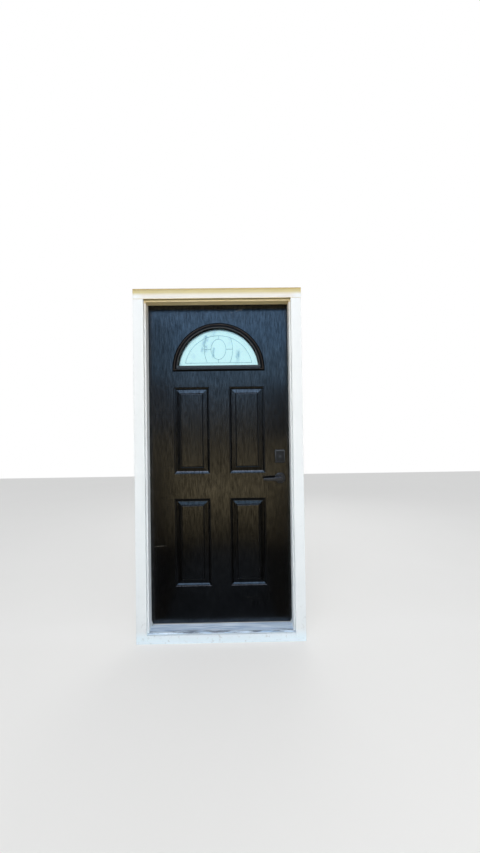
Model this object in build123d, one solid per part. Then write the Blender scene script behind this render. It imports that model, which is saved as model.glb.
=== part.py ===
from build123d import *
import os
from math import atan2, cos, degrees, pi, radians, sin, sqrt

# Front door, hung in its frame: millimetres, X to the right seen from outside,
# Y into the house, Z up. The origin lies under the middle of the unit, in the
# plane of the frame's front edge, against which the casing boards are nailed.

# Slab
slab_width = 908.0
slab_height = 2032.0
slab_thickness = 44.45
skin_thickness = 2.0
stile_width = 28.0
top_rail_height = 38.0
bottom_rail_height = 60.0

# Gaps between the slab and its frame
side_gap = 3.2
head_gap = 3.2
weatherstrip_gap = 8.0
sweep_gap = 9.0

# Jambs
jamb_thickness = 19.0
stop_depth = 64.0
stop_thickness = 12.7
arris_round = 2.0
dado_depth = 6.0
kerf_width = 2.6
kerf_depth = 9.0
kerf_inset = 4.0

# Casing boards and the board under the threshold
casing_width = 64.0
casing_thickness = 19.0
casing_reveal = 11.0
sill_board_height = 49.0

# Threshold
nose_rise = 7.0
deck_depth = 76.0
deck_rise = 10.0
sheet_wall = 1.8
deck_grooves = 6
groove_width = 1.4
groove_depth = 0.6
cap_width = 35.6
cap_height = 14.0
cap_rise = 4.0
cap_lip = 2.0
cap_play = 0.2
cap_screw_count = 4
cap_screw_spacing = 260.0

# Seals
bulb_width = 10.7
seal_clearance = 0.35
bulb_round = 3.0
pad_height = 30.0
pad_reach = 21.0
pad_taper = 9.0
pad_foot = 6.0
sweep_base = 2.5
sweep_fin = 2.0
sweep_fins = 4
sweep_margin = 3.0

# Raised panels, moulded into both skins
panel_width = 227.0
panel_height = 555.0
panel_spread = 177.0
lower_panel_rise = 229.0
lock_rail = 159.0
rim_width = 1.5
rim_depth = 1.8
sticking_width = 16.0
sticking_depth = 7.0
panel_groove = 2.0
bevel_width = 25.0
bevel_foot = 2.2
panel_step = 1.8
field_depth = 0.8

# Half-round window
lite_radius = 256.0
lite_centre_rise = 1613.0
lite_base_rise = 26.0
lite_frame_width = 40.0
lite_crown = 12.0
lite_sleeve = 17.0
lite_fit = 1.0
pane_thickness = 3.0
air_space = 12.0
pane_overlap = 9.0
spacer_width = 7.0
came_width = 3.0
came_depth = 2.4
came_margin = 38.0
came_base_margin = 16.0
lite_screw_step = 36.0

# Hinges
hinge_height = 101.6
hinge_leaf_reach = 38.0
leaf_thickness = 2.3
leaf_corner = 15.9
knuckle_radius = 5.8
knuckle_count = 5
knuckle_gap = 0.3
knuckle_face_gap = 0.4
pin_radius = 3.0
pin_play = 0.05
pin_head_radius = 5.4
pin_head_height = 3.0
top_hinge_drop = 178.0
bottom_hinge_rise = 254.0

# Locks
backset = 69.85
lever_rise = 908.0
deadbolt_spacing = 139.7
cross_bore_radius = 27.0
edge_bore_radius = 12.7
faceplate_height = 57.0
faceplate_width = 25.4
faceplate_thickness = 2.4
faceplate_corner = 6.3
case_radius = 12.0
case_tail = 15.0
bolt_height = 19.0
bolt_thickness = 13.0
bolt_corner = 3.5
bolt_length = 44.0
bolt_play = 0.3
hub_bore_radius = 7.0
latch_throw = 12.7
deadbolt_throw = 25.4
latch_nose = 12.0
latch_nose_flat = 2.0
bolt_chamfer = 1.0
strike_thickness = 1.6
latch_strike_height = 57.0
deadbolt_strike_height = 70.0
strike_width = 30.0
strike_hole_play = 2.2
strike_pocket_floor = 3.0
rose_radius = 34.0
rose_thickness = 10.0
rose_step = 4.0
rose_shoulder = 6.0
neck_radius = 11.0
neck_reach = 7.5
running_clearance = 0.05
lever_standoff = 50.0
lever_length = 110.6
lever_root_radius = 11.5
lever_tip_radius = 6.8
lever_thickness = 12.0
lever_round = 3.0
spindle_size = 8.0
mounting_screw_spacing = 34.0
post_radius = 4.5
post_length = 14.0
lock_plate_width = 64.0
lock_plate_height = 84.0
lock_plate_corner = 5.0
outer_plate_thickness = 18.0
inner_plate_thickness = 9.0
plate_draft = 4.0
cylinder_radius = 17.0
cylinder_proud = 2.5
cylinder_back = 9.0
plug_radius = 6.5
plug_proud = 0.8
keyway_width = 1.6
keyway_height = 8.0
keyway_depth = 10.0
turn_hub_radius = 8.0
turn_length = 40.0
turn_thickness = 6.0
turn_depth = 18.0
turn_flare = 2.0
turn_flare_depth = 3.0
turn_round = 6.0
turn_face_gap = 1.0
tailpiece_width = 7.0
tailpiece_thickness = 2.0

# Screws: head radius, shank radius, length
hinge_screw = (4.4, 2.2, 18.0)
cap_screw = (4.0, 2.4, 20.0)
plate_screw = (3.6, 1.9, 16.0)
lite_screw = (2.9, 1.6, 26.0)
mounting_screw = (3.6, 2.0, 54.0)

# Places that follow from the sizes above
slab_half = slab_width / 2
slab_front = stop_depth + weatherstrip_gap
slab_back = slab_front + slab_thickness
slab_middle = slab_front + slab_thickness / 2
jamb_depth = slab_back
rabbet_x = slab_half + side_gap
stop_x = rabbet_x - stop_thickness
jamb_back = rabbet_x + jamb_thickness
casing_inner = stop_x + casing_reveal
casing_outer = casing_inner + casing_width
nose_top = sill_board_height + nose_rise
deck_end = nose_top + deck_rise
deck_slope = deck_rise / deck_depth
cap_top = deck_end + cap_rise
trough_floor = cap_top - cap_height
trough_back = deck_depth + cap_width + 2 * cap_play
slab_bottom = cap_top + sweep_gap
slab_top = slab_bottom + slab_height
rabbet_z = slab_top + head_gap
stop_z = rabbet_z - stop_thickness
head_top = rabbet_z + jamb_thickness
head_casing_z = stop_z + casing_reveal
lite_z = slab_bottom + lite_centre_rise
hinge_x = -(slab_half + side_gap / 2)
hinge_y = slab_back + knuckle_radius + knuckle_face_gap
lock_x = slab_half - backset
lever_z = slab_bottom + lever_rise
deadbolt_z = lever_z + deadbolt_spacing
hinge_bottoms = {
    "top": slab_top - top_hinge_drop - hinge_height,
    "middle": (slab_top - top_hinge_drop + slab_bottom + bottom_hinge_rise - hinge_height) / 2,
    "bottom": slab_bottom + bottom_hinge_rise,
}
outward = Rot(X=90)
inward = Rot(X=-90)
to_left = Rot(Y=-90)
to_right = Rot(Y=90)


def span(low, high):
    """A box between two opposite corners."""
    size = [b - a for a, b in zip(low, high)]
    middle = [(a + b) / 2 for a, b in zip(low, high)]
    return Pos(*middle) * Box(*size)


def prism_x(points, half_length):
    """A profile of (y, z) points run along X to both sides of the middle."""
    return extrude(Plane.YZ * make_face(Polyline(*points, close=True)), half_length, both=True)


def facing(sketch, y, depth):
    """A sketch of the front view, from the plane y into the house by depth."""
    return Pos(0, y, 0) * extrude(Plane.XZ * sketch, -depth)


def frustum(outline, inset_a, y_a, inset_b, y_b):
    """The solid between an outline at one inset and depth and at another."""
    first = Pos(0, y_a, 0) * (Plane.XZ * outline(inset_a))
    second = Pos(0, y_b, 0) * (Plane.XZ * outline(inset_b))
    return loft([first, second], ruled=True)


def relief(outline, profile, face, direction):
    """A moulded form over an outline: the profile gives inset and height, from the rim inwards.

    The form grows from the plane y = face, into the house where direction is 1
    and out of it where direction is -1.
    """
    form = None
    for (inset_a, high_a), (inset_b, high_b) in zip(profile, profile[1:]):
        if high_a == high_b:
            continue
        layer = frustum(outline, inset_a, face + direction * high_a,
                        inset_b, face + direction * high_b)
        if form is None:
            form = layer
        elif high_b > high_a:
            form = form + layer
        else:
            form = form - layer
    return form


def countersunk(screw):
    """A countersunk screw that points along -Z, its head flush with z = 0."""
    head, shank, length = screw
    sink = head - shank
    half = Polyline((0, 0), (head, 0), (shank, -sink), (shank, -length + shank), (0, -length), close=True)
    return revolve(Plane.XZ * make_face(half), Axis.Z)


def group(solids):
    """Separate like solids that share one node."""
    return Compound(children=list(solids))


def mirrored(shape):
    """The same piece on the other side of the slab's middle plane."""
    return mirror(shape, Plane.XZ.offset(-slab_middle))


def cut(shape, tools):
    """A solid less every tool in a list."""
    for tool in tools:
        shape = shape - tool
    return shape


# Frame

def head_jamb():
    """The head board, let into the side jambs."""
    half = rabbet_x + dado_depth
    return span((-half, 0, rabbet_z), (half, jamb_depth, head_top))


def side_jamb():
    """The jamb board at +X; the other one is its mirror image."""
    return span((rabbet_x, 0, 0), (jamb_back, jamb_depth, head_top)) - head_jamb()


def sill_envelope():
    """What the side stops leave free for the threshold and the sill under it."""
    profile = [(0, 0), (0, nose_top), (deck_depth, deck_end), (deck_depth, 0)]
    return prism_x(profile, rabbet_x)


def side_stop():
    """The stop planted on the jamb at +X, kerfed for its seal and cut to the threshold's slope."""
    section = make_face(Polyline((stop_x, 0), (stop_x, stop_depth), (rabbet_x, stop_depth), (rabbet_x, 0), close=True))
    corner = section.vertices().sort_by_distance((stop_x, 0))[0]
    stop = extrude(fillet(corner, arris_round), rabbet_z)
    kerf = span((rabbet_x - kerf_inset - kerf_width, stop_depth - kerf_depth, 0),
                (rabbet_x - kerf_inset, stop_depth, rabbet_z))
    return stop - kerf - sill_envelope()


def head_stop():
    """The stop under the head board, between the side stops."""
    stop = span((-stop_x, 0, stop_z), (stop_x, stop_depth, rabbet_z))
    kerf = span((-stop_x, stop_depth - kerf_depth, rabbet_z - kerf_inset - kerf_width),
                (stop_x, stop_depth, rabbet_z - kerf_inset))
    return stop - kerf


def door_stops():
    stop = side_stop()
    return group([mirror(stop, Plane.YZ), stop, head_stop()])


def casing_side():
    """The side casing at +X, a flat board with its two front arrises eased."""
    board = span((casing_inner, -casing_thickness, 0), (casing_outer, 0, head_casing_z))
    arrises = board.edges().filter_by(Axis.Z).group_by(Axis.Y)[0]
    return fillet(arrises, arris_round)


def casing_head():
    board = span((-casing_outer, -casing_thickness, head_casing_z),
                 (casing_outer, 0, head_casing_z + casing_width))
    arrises = board.edges().filter_by(Axis.X).group_by(Axis.Y)[0]
    return fillet(arrises, arris_round)


def sill_board():
    board = span((-casing_inner, -casing_thickness, 0), (casing_inner, 0, sill_board_height))
    arris = board.edges().filter_by(Axis.X).group_by(Axis.Y)[0].sort_by(Axis.Z)[-1]
    return fillet(arris, arris_round)


def deck_under(y):
    """Height of the underside of the sloping deck at a depth y."""
    return nose_top + deck_slope * y - sheet_wall


def threshold():
    """The aluminium extrusion: nose, ribbed sloping deck and the trough for the cap."""
    inner_end = deck_depth - sheet_wall
    profile = [(0, sill_board_height), (0, nose_top), (deck_depth, deck_end), (deck_depth, trough_floor),
               (trough_back, trough_floor), (trough_back, cap_top - cap_lip),
               (trough_back + sheet_wall, cap_top - cap_lip),
               (trough_back + sheet_wall, trough_floor - sheet_wall),
               (inner_end, trough_floor - sheet_wall), (inner_end, deck_under(inner_end)),
               (sheet_wall, deck_under(sheet_wall)), (sheet_wall, sill_board_height)]
    deck = prism_x(profile, rabbet_x)
    tilt = degrees(atan2(deck_rise, deck_depth))
    pitch = deck_depth / (deck_grooves + 1)
    for step in range(1, deck_grooves + 1):
        y = step * pitch
        groove = Pos(0, y, nose_top + deck_slope * y) * Rot(X=tilt) * Box(
            2 * rabbet_x, groove_width, 2 * groove_depth)
        deck = deck - groove
    return deck


def cap_screws():
    places = [(i - (cap_screw_count - 1) / 2) * cap_screw_spacing for i in range(cap_screw_count)]
    middle = deck_depth + cap_play + cap_width / 2
    return [Pos(x, middle, cap_top) * countersunk(cap_screw) for x in places]


def threshold_cap():
    cap = span((-rabbet_x, deck_depth + cap_play, trough_floor),
               (rabbet_x, deck_depth + cap_play + cap_width, cap_top))
    arrises = cap.edges().filter_by(Axis.X).group_by(Axis.Z)[-1]
    return fillet(arrises, arris_round)


def sub_sill():
    inner_end = deck_depth - sheet_wall
    profile = [(0, 0), (0, sill_board_height), (sheet_wall, sill_board_height),
               (sheet_wall, deck_under(sheet_wall)), (inner_end, deck_under(inner_end)),
               (inner_end, trough_floor - sheet_wall), (trough_back + sheet_wall, trough_floor - sheet_wall),
               (trough_back + sheet_wall, 0)]
    return prism_x(profile, rabbet_x)


# Seals

def seal_section():
    """Bulb and kerf fin of the weatherstrip, in the plane of width and depth from the rabbet corner."""
    depth = weatherstrip_gap - seal_clearance
    bulb = Pos(-bulb_width / 2, depth / 2) * RectangleRounded(bulb_width, depth, bulb_round)
    seat = Pos(-bulb_width / 2, depth / 4) * Rectangle(bulb_width, depth / 2)
    fin = Pos(-kerf_inset - kerf_width / 2, -kerf_depth / 2) * Rectangle(kerf_width, kerf_depth)
    return bulb + seat, fin


def weatherstrip_side():
    """The seal on the +X jamb, from the corner pad to the head seal."""
    bulb, fin = seal_section()
    corner = Pos(rabbet_x, stop_depth, 0)
    foot = deck_end + pad_height
    strip = Pos(0, 0, foot) * extrude(corner * bulb, rabbet_z - bulb_width - foot)
    return strip + Pos(0, 0, foot) * extrude(corner * fin, stop_z - foot)


def weatherstrip_head():
    bulb, fin = seal_section()
    strip = extrude(bulb, rabbet_x, both=True) + extrude(fin, stop_x, both=True)
    return Pos(0, stop_depth, rabbet_z) * Rot(Y=-90) * strip


def corner_pad():
    """Foam pad that closes the corner below the +X weatherstrip."""
    top = deck_end + pad_height
    outline = Polyline((rabbet_x, deck_end), (rabbet_x - pad_reach, deck_end),
                       (rabbet_x - pad_reach, deck_end + pad_foot),
                       (rabbet_x - pad_reach + pad_taper, top), (rabbet_x, top), close=True)
    return facing(make_face(outline), stop_depth, weatherstrip_gap - seal_clearance)


def door_sweep():
    """Vinyl sweep under the slab: a base with fins that brush the threshold cap."""
    half = slab_half - sweep_margin
    base = span((-half, slab_front + sweep_margin, slab_bottom - sweep_base),
                (half, slab_back - sweep_margin, slab_bottom))
    first = deck_depth + cap_play + arris_round
    pitch = (cap_width - 2 * arris_round - sweep_fin) / (sweep_fins - 1)
    for i in range(sweep_fins):
        y = first + i * pitch
        base = base + span((-half, y, cap_top + seal_clearance), (half, y + sweep_fin, slab_bottom - sweep_base))
    return base


# Slab

def panel_outline(centre_x, centre_z):
    def outline(inset):
        return Pos(centre_x, centre_z) * Rectangle(panel_width - 2 * inset, panel_height - 2 * inset)
    return outline


def panel_centres():
    low = slab_bottom + lower_panel_rise + panel_height / 2
    high = low + panel_height + lock_rail
    return [(side * panel_spread, z) for side in (-1, 1) for z in (low, high)]


def panel_profile():
    """From the rim inwards: small step, ovolo sticking, groove, bevel, second step and flat field."""
    steps = 3
    run = sticking_width - rim_width
    fall = sticking_depth - rim_depth
    ovolo = [(rim_width + run * i / steps, sticking_depth - fall * cos(pi / 2 * i / steps))
             for i in range(steps + 1)]
    bevel_start = sticking_width + panel_groove
    bevel_end = bevel_start + bevel_width
    return [(0, 0)] + ovolo + [(bevel_start, sticking_depth), (bevel_end, bevel_foot),
                               (bevel_end + panel_step, field_depth)]


def lite_outline(offset):
    """The window's sight line, moved outwards by an offset: an arch on a level base."""
    radius = lite_radius + offset
    base = lite_z + lite_base_rise - offset
    below = Pos(0, base - radius) * Rectangle(4 * radius, 2 * radius)
    return Pos(0, lite_z) * Circle(radius) - below


def lock_bores():
    return [Pos(lock_x, slab_middle, z) * inward * Cylinder(cross_bore_radius, 2 * slab_thickness)
            for z in (lever_z, deadbolt_z)]


def door_skin():
    """The outer skin: a sheet whose back follows the moulded panels of its front."""
    skin = span((-slab_half, slab_front, slab_bottom), (slab_half, slab_front + skin_thickness, slab_top))
    for place in panel_centres():
        moulding = relief(panel_outline(*place), panel_profile(), slab_front, 1)
        skin = skin + Pos(0, skin_thickness, 0) * moulding - moulding
    opening = facing(lite_outline(lite_sleeve + lite_fit), slab_front - 1, slab_thickness)
    return cut(skin - opening, lock_bores())


def lumber(low_x, high_x, low_z, high_z):
    """A wood member between the two skins."""
    return span((low_x, slab_front + skin_thickness, low_z), (high_x, slab_back - skin_thickness, high_z))


def hinge_stile():
    return cut(lumber(-slab_half, -slab_half + stile_width, slab_bottom, slab_top), door_leaf_seats())


def lock_block_edge():
    """Inner side of the wood block that carries the locks."""
    return lock_x - cross_bore_radius - stile_width


def lock_block_span():
    return lever_z - 3 * cross_bore_radius, deadbolt_z + 3 * cross_bore_radius


def edge_cuts():
    """Edge bores and faceplate seats of both locks."""
    tools = []
    for z in (lever_z, deadbolt_z):
        tools.append(Pos((lock_x + slab_half) / 2, slab_middle, z) * to_right
                     * Cylinder(edge_bore_radius, backset))
        tools.append(Pos(0, slab_middle, z) * faceplate())
    return tools


def faceplate():
    plate = RectangleRounded(faceplate_height, faceplate_width, faceplate_corner)
    return Pos(slab_half, 0, 0) * to_left * extrude(plate, faceplate_thickness)


def lock_stile():
    stile = lumber(slab_half - stile_width, slab_half, slab_bottom, slab_top)
    return cut(stile, edge_cuts() + faceplate_screws())


def lock_block():
    low, high = lock_block_span()
    block = lumber(lock_block_edge(), slab_half - stile_width, low, high)
    return cut(block, lock_bores() + edge_cuts())


def top_rail():
    return lumber(-slab_half + stile_width, slab_half - stile_width, slab_top - top_rail_height, slab_top)


def bottom_rail():
    return lumber(-slab_half + stile_width, slab_half - stile_width, slab_bottom, slab_bottom + bottom_rail_height)


def foam_core(outer_skin, inner_skin):
    """Foam between the skins and the wood; what lies in front of the mouldings falls away."""
    core = lumber(-slab_half + stile_width, slab_half - stile_width,
                  slab_bottom + bottom_rail_height, slab_top - top_rail_height)
    low, high = lock_block_span()
    pocket = lumber(lock_block_edge(), slab_half - stile_width, low, high)
    opening = facing(lite_outline(lite_sleeve + lite_fit), slab_front, slab_thickness)
    pieces = core - pocket - opening - outer_skin - inner_skin
    return max(pieces.solids(), key=lambda solid: solid.volume)


# Window

def lite_profile():
    """Height of the frame over the slab's face, from its rim to the sight line."""
    width = lite_frame_width
    crown = lite_crown
    return [(width, 0), (width - 1.5, 0.42 * crown), (0.68 * width, 0.67 * crown), (0.64 * width, 0.46 * crown),
            (0.56 * width, 0.46 * crown), (0.52 * width, 0.83 * crown), (0.15 * width, crown),
            (0.11 * width, 0.75 * crown)]


def glass_face():
    """Depth of the sealed glass unit's outer face."""
    return slab_middle - air_space / 2 - pane_thickness


def lite_frame():
    """The outer half of the window frame: moulding on the skin and sleeve round the glass."""
    profile = lite_profile()
    mould = relief(lite_outline, profile, slab_front, -1)
    sleeve = facing(lite_outline(lite_sleeve), slab_front, slab_thickness / 2)
    inset, high = profile[-1]
    sight = frustum(lite_outline, inset, slab_front - high, 0, glass_face())
    front = facing(lite_outline(inset), slab_front - lite_crown, lite_crown - high)
    pocket = facing(lite_outline(pane_overlap), glass_face(), slab_thickness)
    return mould + sleeve - sight - front - pocket


def lite_screw_places():
    """Screw places round the sleeve: along the arch by angle and one in the base."""
    ring = lite_radius + (pane_overlap + lite_sleeve) / 2
    places = [(ring * cos(radians(angle)), lite_z + ring * sin(radians(angle)))
              for angle in (90 + lite_screw_step * i for i in range(-2, 3))]
    return places + [(0, lite_z + lite_base_rise - (pane_overlap + lite_sleeve) / 2)]


def lite_frame_screws():
    head_y = slab_back + 0.85 * lite_crown
    return [Pos(x, head_y, z) * inward * countersunk(lite_screw) for x, z in lite_screw_places()]


def glass_pane():
    return facing(lite_outline(pane_overlap), glass_face(), pane_thickness)


def glass_spacer():
    ring = lite_outline(pane_overlap) - lite_outline(pane_overlap - spacer_width)
    return facing(ring, glass_face() + pane_thickness, air_space)


def came_pattern():
    """Lead lines: a border, two waisted uprights, an oval in the middle and its links."""
    half = came_width / 2
    border_radius = lite_radius - came_margin
    base = lite_z + lite_base_rise + came_base_margin
    top = lite_z + border_radius
    field = Pos(0, lite_z) * Circle(border_radius + half) - Pos(0, base - half - lite_radius) * Rectangle(
        4 * lite_radius, 2 * lite_radius)
    inner = Pos(0, lite_z) * Circle(border_radius - half) - Pos(0, base + half - lite_radius) * Rectangle(
        4 * lite_radius, 2 * lite_radius)
    lines = field - inner
    middle = (top + base) / 2
    bow_radius = border_radius
    for side in (-1, 1):
        bow_x = side * (0.42 * border_radius - bow_radius)
        bow = Circle(bow_radius + half) - Circle(bow_radius - half)
        lines = lines + (Pos(bow_x, middle) * bow & field & Pos(side * border_radius / 2, middle) * Rectangle(
            border_radius, 2 * border_radius))
    oval_wide = 0.22 * border_radius
    oval_high = 0.3 * border_radius
    oval = Ellipse(oval_wide + half, oval_high + half) - Ellipse(oval_wide - half, oval_high - half)
    lines = lines + Pos(0, middle) * oval
    for side in (-1, 1):
        link = Rectangle(0.42 * border_radius - oval_wide, came_width)
        lines = lines + Pos(side * (0.42 * border_radius + oval_wide) / 2, middle) * link
    for low, high in ((base, middle - oval_high), (middle + oval_high, top)):
        lines = lines + Pos(0, (low + high) / 2) * Rectangle(came_width, high - low)
    return lines


def glass_caming():
    return facing(came_pattern(), glass_face() + pane_thickness, came_depth)


# Hinges

def leaf_plate(inner_x):
    """A leaf with its plane face at x = inner_x on the +X side of the pin."""
    reach = hinge_leaf_reach + hinge_y - slab_back
    blank = Rectangle(reach, hinge_height)
    corners = blank.vertices().group_by(Axis.X)[0]
    plate = extrude(fillet(corners, leaf_corner), leaf_thickness)
    return Pos(inner_x, hinge_y - reach / 2, 0) * Rot(Z=90) * Rot(X=90) * plate


def knuckles(own):
    """Barrel pieces at every second place along the pin."""
    pitch = hinge_height / knuckle_count
    return [Pos(hinge_x, hinge_y, (i + 0.5) * pitch - hinge_height / 2) for i in range(own, knuckle_count, 2)]


def hinge_leaf(inner_x, own, bore):
    """A leaf with its own knuckles, cleared where the other leaf has its."""
    pitch = hinge_height / knuckle_count
    leaf = leaf_plate(inner_x)
    for place in knuckles(1 - own):
        leaf = leaf - place * Cylinder(knuckle_radius + knuckle_face_gap, pitch)
    for place in knuckles(own):
        leaf = leaf + place * Cylinder(knuckle_radius, pitch - knuckle_gap)
    return leaf - Pos(hinge_x, hinge_y, 0) * Cylinder(bore, 2 * hinge_height)


def hinge_middles():
    return {name: low + hinge_height / 2 for name, low in hinge_bottoms.items()}


def jamb_leaf():
    return hinge_leaf(-rabbet_x - leaf_thickness, 0, pin_radius)


def door_leaf():
    return hinge_leaf(-slab_half, 1, pin_radius + pin_play)


def jamb_leaf_seats():
    return [Pos(0, 0, z) * leaf_plate(-rabbet_x - leaf_thickness) for z in hinge_middles().values()]


def door_leaf_seats():
    return [Pos(0, 0, z) * leaf_plate(-slab_half) for z in hinge_middles().values()] + door_hinge_screws()


def hinge_pin():
    head = Pos(0, 0, hinge_height / 2) * Cylinder(pin_head_radius, pin_head_height, align=(
        Align.CENTER, Align.CENTER, Align.MIN))
    head = fillet(head.edges().group_by(Axis.Z)[-1], pin_head_height / 2)
    return Pos(hinge_x, hinge_y, 0) * (head + Cylinder(pin_radius, hinge_height))


def leaf_screw_places():
    """Depth and height of a leaf's four screws, in a zigzag."""
    near = slab_back - 0.33 * hinge_leaf_reach
    far = slab_back - 0.7 * hinge_leaf_reach
    return [(near, -0.36 * hinge_height), (far, -0.14 * hinge_height),
            (far, 0.14 * hinge_height), (near, 0.36 * hinge_height)]


def jamb_hinge_screws():
    return [Pos(-rabbet_x, y, middle + z) * to_right * countersunk(hinge_screw)
            for middle in hinge_middles().values() for y, z in leaf_screw_places()]


def door_hinge_screws():
    return [Pos(-slab_half, y, middle + z) * to_left * countersunk(hinge_screw)
            for middle in hinge_middles().values() for y, z in leaf_screw_places()]


# Locks

def bolt_section(play):
    return RectangleRounded(bolt_height + 2 * play, bolt_thickness + 2 * play, bolt_corner + play)


def lock_case():
    """Tube with its faceplate; the bolt slides in it and the hub turns in its cross hole."""
    back = lock_x - case_tail
    tube_length = slab_half - faceplate_thickness - back
    tube = Pos(back + tube_length / 2, 0, 0) * to_right * Cylinder(case_radius, tube_length)
    slot = Pos(slab_half, 0, 0) * to_left * extrude(bolt_section(bolt_play), slab_half - back - sheet_wall)
    hub = Pos(lock_x, 0, 0) * inward * Cylinder(hub_bore_radius, 4 * case_radius)
    return faceplate() + tube - slot - hub


def bolt_blank():
    return Pos(slab_half, 0, 0) * to_left * extrude(bolt_section(0), bolt_length)


def latch_bolt():
    """The spring bolt: bevelled on its outer side, where it meets the strike as the door shuts."""
    half = bolt_thickness / 2
    wedge = make_face(Polyline((slab_half, -half), (slab_half, half - latch_nose_flat), (slab_half - latch_nose, -half), close=True))
    return bolt_blank() - extrude(wedge, bolt_height, both=True)


def deadbolt_bolt():
    bolt = bolt_blank()
    return chamfer(bolt.faces().sort_by(Axis.X)[-1].edges(), bolt_chamfer)


def strike_pocket(depth, play):
    """The space behind a strike that its bolt enters."""
    section = bolt_section(play)
    return Pos(rabbet_x, slab_middle, 0) * to_right * extrude(section, depth)


def strike_blank(height):
    plate = RectangleRounded(height, strike_width, faceplate_corner)
    return Pos(rabbet_x, slab_middle, 0) * to_right * extrude(plate, strike_thickness)


def plate_screw_places(height):
    inset = (height - bolt_height) / 4
    return (height / 2 - inset, -height / 2 + inset)


def strike_screws():
    screws = []
    for z, height in ((lever_z, latch_strike_height), (deadbolt_z, deadbolt_strike_height)):
        for rise in plate_screw_places(height):
            screws.append(Pos(rabbet_x, slab_middle, z + rise) * to_left * countersunk(plate_screw))
    return screws


def faceplate_screws():
    return [Pos(slab_half, slab_middle, z + rise) * to_right * countersunk(plate_screw)
            for z in (lever_z, deadbolt_z) for rise in plate_screw_places(faceplate_height)]


def strike_cuts():
    tools = [Pos(0, 0, lever_z) * strike_pocket(jamb_thickness - strike_pocket_floor, strike_hole_play),
             Pos(0, 0, deadbolt_z) * strike_pocket(2 * jamb_thickness, strike_hole_play),
             Pos(0, 0, lever_z) * strike_blank(latch_strike_height),
             Pos(0, 0, deadbolt_z) * strike_blank(deadbolt_strike_height)]
    return tools + strike_screws()


def mounting_places():
    half = mounting_screw_spacing / 2
    return [(lock_x, z + side * half) for z in (lever_z, deadbolt_z) for side in (-1, 1)]


def mounting_screws():
    """Long screws that draw the inner trim to posts on the outer trim."""
    heads = {lever_z: rose_thickness, deadbolt_z: inner_plate_thickness}
    half = mounting_screw_spacing / 2
    return [Pos(lock_x, slab_back + thickness, z + side * half) * inward * countersunk(mounting_screw)
            for z, thickness in heads.items() for side in (-1, 1)]


def posts():
    """Threaded posts behind an outer trim piece, at the height z = 0."""
    half = mounting_screw_spacing / 2
    return [Pos(lock_x, slab_front + post_length / 2, side * half) * inward * Cylinder(post_radius, post_length)
            for side in (-1, 1)]


def rose():
    """A round stepped rose on the outer face, bored for the lever's neck."""
    lip = rose_radius - rose_shoulder / 2
    half = Polyline((0, 0), (rose_radius, 0), (rose_radius, rose_step), (lip, rose_step + sheet_wall / 2),
                    (rose_radius - rose_shoulder, rose_thickness), (0, rose_thickness), close=True)
    disc = revolve(Plane.XZ * make_face(half), Axis.Z)
    disc = disc - Cylinder(neck_radius + running_clearance, 4 * rose_thickness)
    return Pos(lock_x, slab_front, lever_z) * outward * disc


def lever():
    """The outer lever: neck through the rose and a straight tapering handle towards -X."""
    reach = lever_length - lever_tip_radius
    root = Circle(lever_root_radius)
    tip = Pos(-reach, 0) * Circle(lever_tip_radius)
    lean = (lever_root_radius - lever_tip_radius) / reach
    side = sqrt(1 - lean * lean)
    arm = make_face(Polyline((-lean * lever_root_radius, side * lever_root_radius),
                             (-reach - lean * lever_tip_radius, side * lever_tip_radius),
                             (-reach - lean * lever_tip_radius, -side * lever_tip_radius),
                             (-lean * lever_root_radius, -side * lever_root_radius), close=True))
    handle = extrude(Plane.XZ * (root + arm + tip), lever_thickness)
    handle = fillet(handle.faces().sort_by(Axis.Y)[0].edges(), lever_round)
    back = slab_front - lever_standoff + lever_thickness / 2
    neck_end = slab_front + neck_reach
    neck = Pos(0, (back + neck_end) / 2, 0) * inward * Cylinder(neck_radius, neck_end - back)
    socket = Pos(0, neck_end, 0) * Box(spindle_size, neck_end - back, spindle_size)
    return Pos(lock_x, 0, lever_z) * (Pos(0, back, 0) * handle + neck - socket)


def spindle():
    """Square bar that joins the two levers through the latch."""
    back = slab_front - lever_standoff + lever_thickness / 2
    neck_end = slab_front + neck_reach
    start = (neck_end + back) / 2
    length = 2 * (slab_middle - start)
    return Pos(lock_x, slab_middle, lever_z) * Box(spindle_size, length, spindle_size)


def lock_plate(thickness):
    """A rectangular trim plate with drafted sides, its back on the outer face."""
    foot = RectangleRounded(lock_plate_width, lock_plate_height, lock_plate_corner)
    top = RectangleRounded(lock_plate_width - 2 * plate_draft, lock_plate_height - 2 * plate_draft,
                           lock_plate_corner)
    half = thickness / 2
    plate = extrude(foot, half) + loft([Pos(0, 0, half) * foot, Pos(0, 0, thickness) * top], ruled=True)
    return Pos(lock_x, slab_front, deadbolt_z) * outward * plate


def deadbolt_housing():
    """Outer plate with the round lock cylinder that holds the key plug."""
    high = outer_plate_thickness + cylinder_proud
    barrel = extrude(Circle(cylinder_radius), high + cylinder_back)
    barrel = chamfer(barrel.edges().group_by(Axis.Z)[-1], bolt_chamfer)
    well = extrude(Circle(plug_radius + running_clearance), high + cylinder_back)
    place = Pos(lock_x, slab_front + cylinder_back, deadbolt_z) * outward
    return lock_plate(outer_plate_thickness) + place * barrel - place * well


def key_plug():
    """The plug that a key turns, with its keyway."""
    high = outer_plate_thickness + cylinder_proud + cylinder_back + plug_proud
    plug = extrude(Circle(plug_radius), high)
    keyway = Pos(0, 0, high - keyway_depth / 2) * Box(keyway_width, keyway_height, keyway_depth)
    return Pos(lock_x, slab_front + cylinder_back, deadbolt_z) * outward * (plug - keyway)


def inner_plate():
    plate = mirrored(lock_plate(inner_plate_thickness))
    hole = Pos(lock_x, slab_back, deadbolt_z) * inward * Cylinder(
        turn_hub_radius + running_clearance, 4 * inner_plate_thickness)
    return plate - hole


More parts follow.
